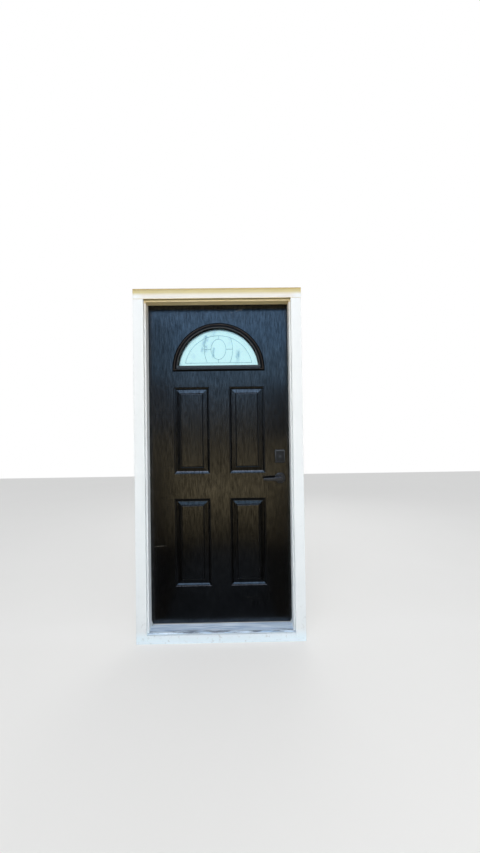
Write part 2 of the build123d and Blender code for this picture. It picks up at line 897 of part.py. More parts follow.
def thumb_turn():
    """Hub through the inner plate and a flat grip, upright while the bolt is drawn."""
    start = slab_back - inner_plate_thickness / 2
    face = slab_back + inner_plate_thickness + turn_face_gap
    hub = Pos(0, (start + face) / 2, 0) * inward * Cylinder(turn_hub_radius, face - start)
    flare = Pos(0, face + turn_flare_depth / 2, 0) * inward * Cylinder(
        turn_hub_radius + turn_flare, turn_flare_depth)
    grip = Pos(0, face + turn_depth / 2, 0) * Box(turn_thickness, turn_depth, turn_length)
    grip = fillet(grip.edges().filter_by(Axis.X), turn_round)
    slot = Pos(0, start, 0) * Box(tailpiece_thickness, inner_plate_thickness, tailpiece_width)
    return Pos(lock_x, 0, deadbolt_z) * (hub + flare + grip - slot)


def tailpiece():
    """Flat bar from the thumb turn through the bolt's hub to the key plug."""
    start = slab_front + cylinder_back + bolt_play
    end = slab_back
    bar = Pos(0, (start + end) / 2, 0) * Box(tailpiece_thickness, end - start, tailpiece_width)
    hub = Pos(0, slab_middle, 0) * inward * Cylinder(hub_bore_radius - 1, bolt_thickness - 1)
    return Pos(lock_x, 0, deadbolt_z) * (bar + hub)


# Assembly

def frame_parts():
    jamb = side_jamb()
    left_jamb = cut(mirror(jamb, Plane.YZ), jamb_leaf_seats() + jamb_hinge_screws())
    right_jamb = cut(jamb, strike_cuts())
    strip = weatherstrip_side()
    pad = corner_pad()
    casing = casing_side()
    screws = cap_screws()
    parts = {
        "hinge_jamb": left_jamb,
        "lock_jamb": right_jamb,
        "head_jamb": head_jamb(),
        "door_stops": door_stops(),
        "casing_left": mirror(casing, Plane.YZ),
        "casing_right": casing,
        "casing_head": casing_head(),
        "sill_board": sill_board(),
        "sub_sill": cut(sub_sill(), screws),
        "threshold": cut(threshold(), screws),
        "threshold_cap": cut(threshold_cap(), screws),
        "cap_screws": group(screws),
        "weatherstrip_hinge_side": mirror(strip, Plane.YZ),
        "weatherstrip_lock_side": strip,
        "weatherstrip_head": weatherstrip_head(),
        "corner_pads": group([pad, mirror(pad, Plane.YZ)]),
        "latch_strike": strike_plate(lever_z, latch_strike_height),
        "deadbolt_strike": strike_plate(deadbolt_z, deadbolt_strike_height),
        "strike_screws": group(strike_screws()),
        "jamb_hinge_screws": group(jamb_hinge_screws()),
    }
    return parts


def strike_plate(z, height):
    """A strike let into the jamb at +X, pierced for its bolt and its two screws."""
    hole = strike_pocket(strike_thickness, strike_hole_play)
    return cut(Pos(0, 0, z) * (strike_blank(height) - hole), strike_screws())


def hinge_parts():
    parts = {}
    frame_leaf = jamb_leaf()
    slab_leaf = door_leaf()
    pins = []
    for name, z in hinge_middles().items():
        place = Pos(0, 0, z)
        parts[f"{name}_hinge_jamb_leaf"] = cut(place * frame_leaf, jamb_hinge_screws())
        parts[f"{name}_hinge_door_leaf"] = cut(place * slab_leaf, door_hinge_screws())
        pins.append(place * hinge_pin())
    parts["hinge_pins"] = group(pins)
    parts["door_hinge_screws"] = group(door_hinge_screws())
    return parts


def slab_parts():
    skin = door_skin()
    back_skin = cut(mirrored(skin), door_leaf_seats())
    return {
        "door_skin_outer": skin,
        "door_skin_inner": back_skin,
        "hinge_stile": hinge_stile(),
        "lock_stile": lock_stile(),
        "lock_block": lock_block(),
        "top_rail": top_rail(),
        "bottom_rail": bottom_rail(),
        "foam_core": foam_core(skin, mirrored(skin)),
        "door_sweep": door_sweep(),
    }


def window_parts():
    frame = lite_frame()
    screws = lite_frame_screws()
    return {
        "lite_frame_outer": cut(frame, screws),
        "lite_frame_inner": cut(mirrored(frame), screws),
        "lite_frame_screws": group(screws),
        "glass_outer_pane": glass_pane(),
        "glass_inner_pane": mirrored(glass_pane()),
        "glass_spacer": glass_spacer(),
        "glass_caming": glass_caming(),
    }


def lock_parts():
    screws = mounting_screws()
    plate_screws = faceplate_screws()
    outer_trim = posts()
    latch_place = Pos(0, slab_middle, lever_z)
    deadbolt_place = Pos(0, slab_middle, deadbolt_z)
    outer_rose = rose()
    outer_lever = lever()
    housing = deadbolt_housing()
    for post in outer_trim:
        outer_rose = outer_rose + Pos(0, 0, lever_z) * post
        housing = housing + Pos(0, 0, deadbolt_z) * post
    return {
        "outer_rose": cut(outer_rose, screws),
        "inner_rose": cut(mirrored(rose()), screws),
        "outer_lever": outer_lever,
        "inner_lever": mirrored(outer_lever),
        "spindle": spindle(),
        "latch_case": cut(latch_place * lock_case(), plate_screws),
        "latch_bolt": latch_place * latch_bolt(),
        "deadbolt_case": cut(deadbolt_place * lock_case(), plate_screws),
        "deadbolt_bolt": deadbolt_place * deadbolt_bolt(),
        "faceplate_screws": group(plate_screws),
        "deadbolt_housing": cut(housing, screws),
        "deadbolt_inner_plate": cut(inner_plate(), screws),
        "lock_mounting_screws": group(screws),
        "key_plug": key_plug(),
        "thumb_turn": thumb_turn(),
        "tailpiece": tailpiece(),
    }


def main():
    os.makedirs("parts", exist_ok=True)
    parts = {}
    for made in (frame_parts(), hinge_parts(), slab_parts(), window_parts(), lock_parts()):
        parts.update(made)
    for name, shape in parts.items():
        export_step(shape, f"parts/{name}.step")


main()
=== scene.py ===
import math

import bmesh
import bpy
from mathutils import Matrix, Vector


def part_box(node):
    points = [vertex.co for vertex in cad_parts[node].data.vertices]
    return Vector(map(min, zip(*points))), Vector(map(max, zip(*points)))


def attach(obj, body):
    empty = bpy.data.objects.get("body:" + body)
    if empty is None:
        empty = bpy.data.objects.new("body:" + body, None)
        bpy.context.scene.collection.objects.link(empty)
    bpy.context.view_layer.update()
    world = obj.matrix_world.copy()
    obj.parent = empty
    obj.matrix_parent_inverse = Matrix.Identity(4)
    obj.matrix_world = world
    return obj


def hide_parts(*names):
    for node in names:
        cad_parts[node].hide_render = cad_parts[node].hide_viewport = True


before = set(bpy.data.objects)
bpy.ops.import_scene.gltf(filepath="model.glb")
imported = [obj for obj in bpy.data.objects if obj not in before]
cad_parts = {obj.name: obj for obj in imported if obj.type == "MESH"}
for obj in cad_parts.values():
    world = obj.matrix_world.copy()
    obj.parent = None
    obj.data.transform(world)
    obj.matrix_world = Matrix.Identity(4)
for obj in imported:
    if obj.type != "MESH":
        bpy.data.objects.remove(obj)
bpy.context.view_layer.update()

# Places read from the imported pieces, in metres

slab_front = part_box("door_skin_outer")[0].y
slab_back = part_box("door_skin_inner")[1].y
slab_middle = (slab_front + slab_back) / 2
came_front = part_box("glass_caming")[0].y
rose_low, rose_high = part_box("outer_rose")
lock_x = (rose_low.x + rose_high.x) / 2
plate_low, plate_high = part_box("deadbolt_housing")
plate_z = (plate_low.z + plate_high.z) / 2
plate_half_width = (plate_high.x - plate_low.x) / 2
plate_half_height = (plate_high.z - plate_low.z) / 2

# The window, its glass and the panels: lengths are in metres

window_centre = 1.692
window_base = 1.718
sight_radius = 0.256
glass_bevel_radius = 0.239
glass_index = 1.45
panel_spread = 0.177
panel_middles = (0.5855, 1.2995)
field_half_width = 0.0705
field_half_height = 0.2345
rim_half_width = 0.1105
rim_half_height = 0.2745


# Shader arithmetic

class Signal:
    """A shader socket that takes part in arithmetic: each operator adds its Math node."""

    def __init__(self, finish, socket):
        self.finish = finish
        self.socket = socket

    def math(self, operation, *others):
        """One Math node that works on this signal and the others."""
        sockets = dict(enumerate((self, *others)))
        return self.finish.node("Math", {"operation": operation}, sockets)

    def __add__(self, other):
        return self.math("ADD", other)

    __radd__ = __add__

    def __mul__(self, other):
        return self.math("MULTIPLY", other)

    __rmul__ = __mul__

    def __sub__(self, other):
        return self.math("SUBTRACT", other)

    def __rsub__(self, other):
        return self * -1 + other

    def __abs__(self):
        return self.math("ABSOLUTE")

    def larger(self, other):
        """The larger of two values."""
        return self.math("MAXIMUM", other)

    def smaller(self, other):
        """The smaller of two values."""
        return self.math("MINIMUM", other)

    def above(self, limit):
        """1 above a limit and 0 below it."""
        return self.math("GREATER_THAN", limit)

    def step(self, low, high):
        """0 below low and 1 above high, smoothly between them."""
        sockets = {"Value": self, "From Min": low, "From Max": high, "To Min": 0.0, "To Max": 1.0}
        return self.finish.node("MapRange", {"interpolation_type": "SMOOTHSTEP"}, sockets)

    def ridge(self, centre, half_width):
        """1 at a value, falling to 0 at half_width to either side of it."""
        return 1 - abs(self - centre).step(0.0, half_width)


def distance(across, rise):
    """How far a point lies from where both signals are 0."""
    return (across * across + rise * rise).math("SQRT")


class Finish:
    """A procedural material. Every pattern reads Object coordinates, in metres."""

    def __init__(self, name):
        self.made = bpy.data.materials.new(name)
        self.made.use_nodes = True
        self.tree = self.made.node_tree
        self.tree.nodes.clear()
        self.place = self.node("TexCoord", output="Object")
        self.x, self.y, self.z = (self.node("SeparateXYZ", None, {0: self.place}, axis)
                                  for axis in "XYZ")

    def node(self, kind, settings=None, sockets=None, output=0):
        """Adds a node: its settings first, then the values or links of its sockets."""
        made = self.tree.nodes.new("ShaderNode" + kind)
        for name, value in (settings or {}).items():
            setattr(made, name, value)
        for name, value in (sockets or {}).items():
            if isinstance(value, Signal):
                self.tree.links.new(value.socket, made.inputs[name])
            else:
                made.inputs[name].default_value = value
        return Signal(self, made.outputs[output]) if made.outputs else made

    def noise(self, cells, detail=2.0, shift=0.0):
        """Noise with its own number of cells per metre along each axis."""
        moved = {"Vector": self.place, "Scale": cells, "Location": (shift, shift, shift)}
        spot = self.node("Mapping", None, moved)
        sockets = {"Vector": spot, "Scale": 1.0, "Detail": detail, "Roughness": 0.55}
        return self.node("TexNoise", None, sockets)

    def mix(self, share, first, second):
        """Two colours mixed by a share of the second."""
        return self.node("Mix", {"data_type": "RGBA"}, {0: share, 6: first, 7: second}, 2)

    def streak(self, start, end, width):
        """1 along a line on the front, from start to end as (x, z), falling to 0 at its width."""
        (x0, z0), (x1, z1) = start, end
        run_x, run_z = x1 - x0, z1 - z0
        square = run_x ** 2 + run_z ** 2
        along = (self.x - x0) * (run_x / square) + (self.z - z0) * (run_z / square)
        along = along.larger(0.0).smaller(1.0)
        off = distance(self.x - x0 - along * run_x, self.z - z0 - along * run_z)
        return 1 - off.step(0.0, width)

    def surface(self, colour, roughness, relief, height, **constants):
        """Closes the material: relief is 0 to 1, and height is its depth in metres."""
        bump = self.node("Bump", None, {"Height": relief, "Distance": height, "Strength": 1.0})
        sockets = {"Base Color": colour, "Roughness": roughness, "Normal": bump}
        sockets.update({name.replace("_", " "): value for name, value in constants.items()})
        shader = self.node("BsdfPrincipled", None, sockets)
        self.node("OutputMaterial", None, {"Surface": shader})
        return self.made


def tone(red, green, blue):
    """A colour given as it looks on screen, 0 to 255, for a colour socket."""
    shown = [channel / 255 for channel in (red, green, blue)]
    linear = [c / 12.92 if c < 0.0404 else ((c + 0.055) / 1.055) ** 2.4 for c in shown]
    return (*linear, 1.0)


# Finishes

def moulded_grain(f):
    """Wood grain moulded into a skin: cathedral figures, short streaks and pores, from 0 to 1."""
    figures, slant = 26, 9
    field = f.noise((3.2, 3.2, 0.8), 1.0)
    figure = (field * figures + f.x * slant).math("FRACT").ridge(0.5, 0.36)
    streaks = f.noise((150.0, 150.0, 19.0), 3.0).step(0.3, 0.7)
    pores = f.noise((420.0, 420.0, 22.0)).step(0.48, 0.62)
    return figure * 0.14 + streaks * 0.6 + (1 - pores) * 0.26


def panel_lines(f):
    """Two masks: the small step round each raised field, and the rim at a panel's top and sides."""
    step_half_width, rim_half = 0.0055, 0.005
    low, high = panel_middles
    across = abs(abs(f.x) - panel_spread)
    rise = f.z - (f.z.above((low + high) / 2) * (high - low) + low)
    field = (across - field_half_width).larger(abs(rise) - field_half_height)
    rim = (across - rim_half_width).larger(rise - rim_half_height)
    rim_mask = rim.ridge(0.0, rim_half) * rise.above(-rim_half_height)
    return field.ridge(0.0, step_half_width), rim_mask


def door_paint():
    """Satin black paint over moulded grain, with a smear at the top and a few scuffs."""
    smear_line = ((0.085, 2.052), (0.165, 2.078), 0.007)
    nick_line = ((-0.42, 0.563), (-0.35, 0.567), 0.004)
    scuffs_x, scuffs_half_width = 0.21, 0.09
    scuffs_z, scuffs_half_height = 0.225, 0.04
    grain_depth = 0.0008
    f = Finish("satin_black_paint")
    grain = moulded_grain(f)
    front = 1 - f.y.step(slab_middle - 0.002, slab_middle)
    smear = f.streak(*smear_line) * f.noise((90.0, 90.0, 220.0)).step(0.4, 0.6)
    nick = f.streak(*nick_line) * f.noise((120.0, 120.0, 60.0), 3.0, 4.0).step(0.48, 0.6)
    scuffs = f.z.ridge(scuffs_z, scuffs_half_height) * f.x.ridge(scuffs_x, scuffs_half_width)
    scuffs = scuffs * f.noise((14.0, 14.0, 260.0), 3.0, 7.0).step(0.56, 0.7)
    worn = (smear * 0.15 + nick * 0.28 + scuffs * 0.12) * front
    dust = f.noise((9.0, 9.0, 6.0), 4.0, 2.0).step(0.35, 0.8)
    black = f.mix(dust * 0.5 + grain * 0.4, tone(1, 1, 2), tone(5, 5, 5))
    colour = f.mix(worn, black, tone(150, 146, 134))
    field, rim = panel_lines(f)
    roughness = 0.15 + dust * 0.05 + grain * 0.04 + worn * 0.25 + (field + rim) * 0.15
    gloss = (grain * 1.05 - field * 1.1 - rim).larger(0.0)
    return f.surface(colour, roughness, grain - field * 1.9, height=grain_depth,
                     Specular_IOR_Level=0.28, Coat_Weight=gloss, Coat_Roughness=0.17)


def white_paint(name, cells, painted_head_shading=False):
    """Satin white paint with brush marks along a board, a little soiled towards the ground, with
    painted cool sky light at its foot and painted warm light growing upwards.

    With the head's shading, warm bounce light and shade are painted near the top, most of all on
    the head casing's upper edge.
    """
    soiled_height = 0.35
    # Heights over which painted cool sky light fades out above the ground
    painted_sky_light_band = (0.02, 0.09)
    # Heights over which painted warm light grows
    painted_warm_light_rise = (0.6, 1.9)
    f = Finish(name)
    brush = f.noise(cells, 3.0)
    patches = f.noise((6.0, 6.0, 6.0), 3.0, 3.0)
    low = 1 - f.z.step(0.0, soiled_height)
    soil = f.noise((45.0, 45.0, 45.0), 4.0, 5.0).step(0.55, 0.75) * (low * 0.3 + 0.05)
    clean = f.mix(patches, tone(227, 233, 235), tone(237, 241, 242))
    # Painted cool sky light: bluer paint near the ground
    clean = f.mix(1 - f.z.step(*painted_sky_light_band), clean, tone(231, 245, 252))
    # Painted warm light: the paint turns warmer towards the top
    clean = f.mix(f.z.step(*painted_warm_light_rise), clean, tone(231, 232, 229))
    # Painted warm bounce light and painted shade near the head
    if painted_head_shading:
        for share, painted_tone in painted_head_shading_layers(f, patches):
            clean = f.mix(share, clean, painted_tone)
    colour = f.mix(soil, clean, tone(158, 156, 148))
    return f.surface(colour, 0.42 + brush * 0.14, brush, height=0.00025)


def painted_head_shading_layers(f, patches):
    """The layers of painted warm light and shade near the top, each after the share that it takes.
    """
    inside_casings = (0.44, 0.5)
    stops_top = (1.9, 2.1)
    casing_top = (2.13, 2.156)
    casing_edge = (2.157, 2.172)
    reveal_z, reveal_half = 2.104, 0.014
    joint_z, joint_half = 2.1117, 0.0032
    between = 1 - abs(f.x).step(*inside_casings)
    reveal = f.z.ridge(reveal_z, reveal_half).step(0.0, 0.3)
    # Painted warm light on the stops' tops, painted shade and warm light on the casing's top,
    # deeper painted shade at its upper edge, painted warm shade under the head jamb and a painted
    # shadow line at the casing's joint with it
    return [(between * f.z.step(*stops_top), tone(226, 219, 206)),
            (f.z.step(*casing_top) * (patches * 0.2 + 0.85), tone(203, 184, 112)),
            (f.z.step(*casing_edge), tone(181, 155, 77)),
            (reveal * (patches * 0.3 + 0.7), tone(222, 198, 136)),
            (f.z.ridge(joint_z, joint_half), tone(146, 132, 86))]


def window_frame_plastic():
    """Dark moulded plastic round the glass, with painted highlights on the bead and, brownish, on
    the crown, and a painted bluish sky reflection on the foot's flat.
    """
    bead_out, bead_half = 0.009, 0.005
    crown_out, crown_half = 0.0278, 0.0056
    between_legs = (0.264, 0.272)
    foot_end = (0.026, 0.03)
    f = Finish("dark_moulded_plastic")
    grain = f.noise((900.0, 900.0, 900.0))
    clouds = f.noise((14.0, 14.0, 14.0), 3.0)
    below = window_base - f.z
    out = (distance(f.x, f.z - window_centre) - sight_radius).larger(below)
    foot = below.step(0.0, 0.006) * (1 - abs(f.x).step(*between_legs))
    bead = out.ridge(bead_out, bead_half)
    crown = out.ridge(crown_out, crown_half) * (1 - foot)
    flat = foot * (1 - below.step(*foot_end))
    # Uneven strength of the painted highlights
    painted_highlight = clouds * 0.4 + 0.6
    colour = f.mix(clouds, tone(1, 1, 1), tone(4, 4, 4))
    # Painted highlights on the bead and on the crown
    colour = f.mix(bead * painted_highlight, colour, tone(78, 77, 76))
    colour = f.mix(crown * painted_highlight, colour, tone(64, 57, 52))
    # Painted bluish sky reflection on the foot's flat
    colour = f.mix(flat * (clouds * 0.3 + 0.7), colour, tone(60, 67, 74))
    return f.surface(colour, 0.34 + grain * 0.1, grain, height=0.00008, Specular_IOR_Level=0.05)


def clear_glass():
    """The outer pane: clear, with the slight waves and the bevelled rim of decorative glass."""
    bevel_half = 0.003
    f = Finish("clear_bevelled_glass")
    bevel = distance(f.x, f.z - window_centre).ridge(glass_bevel_radius, bevel_half)
    waves = f.noise((38.0, 38.0, 38.0), 3.0, 1.0)
    colour = f.mix(bevel * 0.4, tone(243, 255, 255), tone(200, 226, 228))
    return f.surface(colour, 0.05 + waves * 0.05, waves, height=0.0006,
                     Transmission_Weight=1.0, IOR=glass_index)


def textured_glass():
    """The inner pane: pale privacy glass whose texture scatters what is behind it."""
    smudge_lines = [((-0.08, 1.9), (-0.098, 1.815), 0.026), ((0.138, 1.802), (0.12, 1.775), 0.018),
                    ((-0.03, 1.83), (-0.036, 1.775), 0.014)]
    f = Finish("textured_privacy_glass")
    ripple = f.noise((130.0, 130.0, 130.0))
    blots = f.noise((17.0, 17.0, 11.0), 3.0, 1.3).step(0.55, 0.72)
    broken = f.noise((60.0, 60.0, 40.0), 3.0).step(0.35, 0.7)
    smudges = sum(f.streak(*line) for line in smudge_lines) * broken
    colour = f.mix(ripple.step(0.3, 0.75), tone(212, 251, 255), tone(228, 254, 255))
    colour = f.mix((blots * 0.45 + smudges * 1.8).smaller(1.0), colour, tone(150, 192, 208))
    return f.surface(colour, 0.35 + ripple * 0.2, ripple, height=0.0012,
                     Transmission_Weight=0.96, IOR=glass_index)


def leading():
    """Dull grey-green metal of the lead lines."""
    f = Finish("dull_came")
    clouds = f.noise((60.0, 60.0, 60.0), 3.0)
    colour = f.mix(clouds, tone(146, 184, 188), tone(194, 224, 226))
    return f.surface(colour, 0.45 + clouds * 0.2, clouds, height=0.0002, Metallic=0.8)


def mill_aluminium():
    """Bare aluminium, streaked along its length and smudged where feet land, with a painted bluish
    sky reflection in its colour.
    """
    trodden = (0.0, 0.035)
    f = Finish("mill_aluminium")
    lines = f.noise((2.0, 420.0, 420.0), 3.0)
    streaks = f.noise((5.0, 130.0, 130.0), 4.0, 2.0)
    smudge = f.noise((9.0, 60.0, 60.0), 4.0, 6.0).step(0.44, 0.6) * (1 - f.y.step(*trodden))
    # Painted bluish sky reflection, broken into bands along the streaks
    bright = f.mix(streaks.step(0.3, 0.65), tone(160, 188, 214), tone(238, 248, 255))
    colour = f.mix(smudge * 0.85, bright, tone(78, 84, 94))
    roughness = 0.36 + streaks * 0.2 + smudge * 0.2
    return f.surface(colour, roughness, lines, height=0.00012, Metallic=0.25)


def satin_nickel():
    """Brushed nickel hinges, strikes and bolts."""
    f = Finish("satin_nickel")
    brushed = f.noise((900.0, 900.0, 26.0))
    clouds = f.noise((40.0, 40.0, 40.0), 3.0)
    colour = f.mix(clouds, tone(158, 155, 149), tone(182, 178, 170))
    return f.surface(colour, 0.26 + brushed * 0.16, brushed, height=0.00004, Metallic=1.0)


def black_hardware(name, painted_highlight=False):
    """Matt black enamel on the levers and the lock's trim.

    The lock plate's enamel is deeper, with painted highlights on its edges and its cylinder.
    """
    f = Finish(name)
    peel = f.noise((420.0, 420.0, 420.0))
    clouds = f.noise((30.0, 30.0, 30.0), 3.0)
    if painted_highlight:
        deep = f.mix(clouds, tone(8, 8, 10), tone(17, 17, 19))
        # Painted highlights on the plate's rim, most at the top, and on the cylinder's face
        colour = f.mix(plate_highlights(f), deep, tone(92, 96, 100))
    else:
        colour = f.mix(clouds, tone(29, 29, 31), tone(44, 43, 44))
    return f.surface(colour, 0.3 + peel * 0.14, peel, height=0.00006, Specular_IOR_Level=0.4)


def plate_highlights(f):
    """Where highlights are painted on the lock plate: its rim, more so at the top, and the
    cylinder's face.
    """
    rim_inset, rim_half = 0.004, 0.005
    cylinder_face = (0.006, 0.012)
    across = abs(f.x - lock_x)
    rise = f.z - plate_z
    edge = (across - plate_half_width).larger(abs(rise) - plate_half_height)
    rim = edge.ridge(-rim_inset, rim_half) * (rise.step(-0.03, 0.03) * 0.6 + 0.2)
    face = 1 - distance(across, rise).step(*cylinder_face)
    return rim + face * 0.5


def vinyl(name, dark, light):
    """Matt vinyl of the seals and sweep."""
    f = Finish(name)
    clouds = f.noise((70.0, 70.0, 70.0), 4.0)
    return f.surface(f.mix(clouds, dark, light), 0.55 + clouds * 0.15, clouds, height=0.0001)


def softwood(name, along):
    """Planed softwood with its grain along one axis."""
    f = Finish(name)
    cells = [90.0, 90.0, 90.0]
    cells["xyz".index(along)] = 3.0
    rings = f.noise(tuple(cells), 4.0)
    pores = f.noise(tuple(6 * c for c in cells))
    colour = f.mix(rings.step(0.35, 0.7), tone(214, 180, 132), tone(178, 134, 84))
    return f.surface(colour, 0.6 + pores * 0.15, rings * 0.6 + pores * 0.4, height=0.0003)


def foam():
    """Rigid yellow foam."""
    f = Finish("rigid_foam")
    cells = f.noise((400.0, 400.0, 400.0), 3.0)
    colour = f.mix(cells, tone(226, 208, 150), tone(240, 226, 178))
    return f.surface(colour, 0.8 + cells * 0.1, cells, height=0.0005)


def composite(name, dark, light):
    """Moulded composite of the sill and the threshold's cap."""
    f = Finish(name)
    flow = f.noise((6.0, 160.0, 160.0), 4.0)
    colour = f.mix(flow.step(0.3, 0.75), dark, light)
    return f.surface(colour, 0.45 + flow * 0.15, flow, height=0.0002)


def dress_nodes():
    """Gives every carried-over piece its finish: nickel, where nothing else is named."""
    marks_up = (170.0, 170.0, 2.5)
    marks_along = (2.5, 170.0, 170.0)
    upright = white_paint("white_paint_upright", marks_up)
    level = white_paint("white_paint_level", marks_along)
    # The head pieces and the stops carry painted warm light and shade near the top
    painted_head_shading = white_paint("white_paint_painted_head_shading", marks_along, painted_head_shading=True)
    stops = white_paint("white_stops_painted_head_shading", marks_up, painted_head_shading=True)
    paint = door_paint()
    nickel = satin_nickel()
    enamel = black_hardware("matt_black_enamel")
    seal = vinyl("pale_vinyl", tone(176, 180, 178), tone(200, 203, 200))
    plastic = window_frame_plastic()
    aluminium = mill_aluminium()
    finishes = {
        "hinge_jamb": upright,
        "lock_jamb": upright,
        "casing_left": upright,
        "casing_right": upright,
        "head_jamb": painted_head_shading,
        "casing_head": painted_head_shading,
        "door_stops": stops,
        "sill_board": level,
        "sub_sill": composite("grey_composite", tone(104, 102, 98), tone(134, 131, 126)),
        "threshold_cap": composite("pale_composite", tone(176, 178, 176), tone(204, 206, 204)),
        "threshold": aluminium,
        "glass_spacer": aluminium,
        "weatherstrip_hinge_side": seal,
        "weatherstrip_lock_side": seal,
        "weatherstrip_head": seal,
        "corner_pads": seal,
        "door_sweep": vinyl("dark_vinyl", tone(30, 30, 31), tone(44, 44, 45)),
        "door_skin_outer": paint,
        "door_skin_inner": paint,
        "hinge_stile": paint,
        "lock_stile": paint,
        "top_rail": softwood("softwood_level", "x"),
        "bottom_rail": softwood("softwood_low", "x"),
        "lock_block": softwood("softwood_upright", "z"),
        "foam_core": foam(),
        "lite_frame_outer": plastic,
        "lite_frame_inner": plastic,
        "glass_outer_pane": clear_glass(),
        "glass_inner_pane": textured_glass(),
        "glass_caming": leading(),
        "deadbolt_housing": black_hardware("highlighted_black_enamel", painted_highlight=True),
    }
    enamelled = ("outer_rose", "inner_rose", "outer_lever", "inner_lever", "deadbolt_inner_plate",
                 "thumb_turn", "lock_mounting_screws", "key_plug")
    finishes.update(dict.fromkeys(enamelled, enamel))
    for name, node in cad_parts.items():
        for place in node.material_slots:
            place.material = finishes.get(name, nickel)
    return nickel


# Screws

def loose_boxes(name):
    """The lowest and highest corners of each separate solid of a node."""
    seam = 0.00001
    shape = bmesh.new()
    shape.from_mesh(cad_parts[name].data)
    bmesh.ops.remove_doubles(shape, verts=shape.verts, dist=seam)
    waiting = set(shape.verts)
    boxes = []
    while waiting:
        reached = [waiting.pop()]
        for vert in reached:
            for edge in vert.link_edges:
                other = edge.other_vert(vert)
                if other in waiting:
                    waiting.remove(other)
                    reached.append(other)
        spots = [vert.co.copy() for vert in reached]
        boxes.append([tuple(pick(spot[axis] for spot in spots) for axis in range(3))
                      for pick in (min, max)])
    shape.free()
    return sorted(boxes)


def screw_blank(radius, length):
    """A countersunk screw along -Z: its head at the origin with a tapered cross recess."""
    sides = 24
    shank = radius * 0.5
    tip = shank * 0.2
    rim_depth = 0.06 * radius
    cone_depth = 0.6 * radius
    arm = radius * 0.56
    half = radius * 0.13
    recess_depth = 0.5 * radius
    recess_taper = 0.5
    shape = bmesh.new()

    def ring(reach, z):
        turns = [2 * math.pi * i / sides for i in range(sides)]
        return [shape.verts.new((reach * math.cos(turn), reach * math.sin(turn), z))
                for turn in turns]

    def cross(scale, z):
        arms = [(arm, -half), (arm, half), (half, half)]
        verts = []
        for quarter in range(4):
            c = round(math.cos(quarter * math.pi / 2))
            s = round(math.sin(quarter * math.pi / 2))
            verts += [shape.verts.new((scale * (x * c - y * s), scale * (x * s + y * c), z))
                      for x, y in arms]
        return verts

    def pairs(loop):
        return zip(loop, loop[1:] + loop[:1])

    def bridge(first, second):
        for (a, b), (c, d) in zip(pairs(first), pairs(second)):
            shape.faces.new((a, b, d, c))

    rim = ring(radius, 0.0)
    rows = [rim, ring(radius, -rim_depth), ring(shank, -cone_depth), ring(shank, shank - length),
            ring(tip, -length)]
    for first, second in zip(rows, rows[1:]):
        bridge(first, second)
    shape.faces.new(rows[-1])
    mouth = cross(1.0, 0.0)
    floor = cross(recess_taper, -recess_depth)
    bridge(mouth, floor)
    shape.faces.new(floor)
    head = [shape.edges.get(ends) for loop in (rim, mouth) for ends in pairs(loop)]
    bmesh.ops.triangle_fill(shape, use_beauty=True, edges=head)
    bmesh.ops.recalc_face_normals(shape, faces=shape.faces)
    mesh = bpy.data.meshes.new("screw_blank")
    shape.to_mesh(mesh)
    shape.free()
    return bpy.data.objects.new("screw_blank", mesh)


def screw_tree():
    """Sets a screw at each point, facing one way, each driven home to its own angle."""
    tree = bpy.data.node_groups.new("driven_screws", "GeometryNodeTree")
    kinds = {"Places": "Geometry", "Screw": "Object", "Facing": "Vector", "Seed": "Int",
             "Finish": "Material"}
    for name, kind in kinds.items():
        tree.interface.new_socket(name=name, in_out="INPUT", socket_type="NodeSocket" + kind)
    tree.interface.new_socket(name="Screws", in_out="OUTPUT", socket_type="NodeSocketGeometry")

    def node(kind, sockets, **settings):
        made = tree.nodes.new(kind)
        for name, value in settings.items():
            setattr(made, name, value)
        for name, value in sockets.items():
            if isinstance(value, bpy.types.NodeSocket):
                tree.links.new(value, made.inputs[name])
            else:
                made.inputs[name].default_value = value
        return made

    given = tree.nodes.new("NodeGroupInput").outputs
    screw = node("GeometryNodeObjectInfo", {"Object": given["Screw"], "As Instance": True})
    facing = node("FunctionNodeAlignRotationToVector", {"Vector": given["Facing"]}, axis="Z")
    placed = node("GeometryNodeInstanceOnPoints", {
        "Points": given["Places"],
        "Instance": screw.outputs["Geometry"],
        "Rotation": facing.outputs[0],
    })
    angle = node("FunctionNodeRandomValue", {2: 0.0, 3: math.pi / 2, "Seed": given["Seed"]},
                 data_type="FLOAT")
    turn = node("ShaderNodeCombineXYZ", {"Z": angle.outputs[1]})
    driven = node("GeometryNodeRotateInstances", {
        "Instances": placed.outputs[0],
        "Rotation": turn.outputs[0],
        "Local Space": True,
    })
    real = node("GeometryNodeRealizeInstances", {"Geometry": driven.outputs[0]})
    finished = node("GeometryNodeSetMaterial", {
        "Geometry": real.outputs[0],
        "Material": given["Finish"],
    })
    node("NodeGroupOutput", {"Screws": finished.outputs[0]})
    return tree


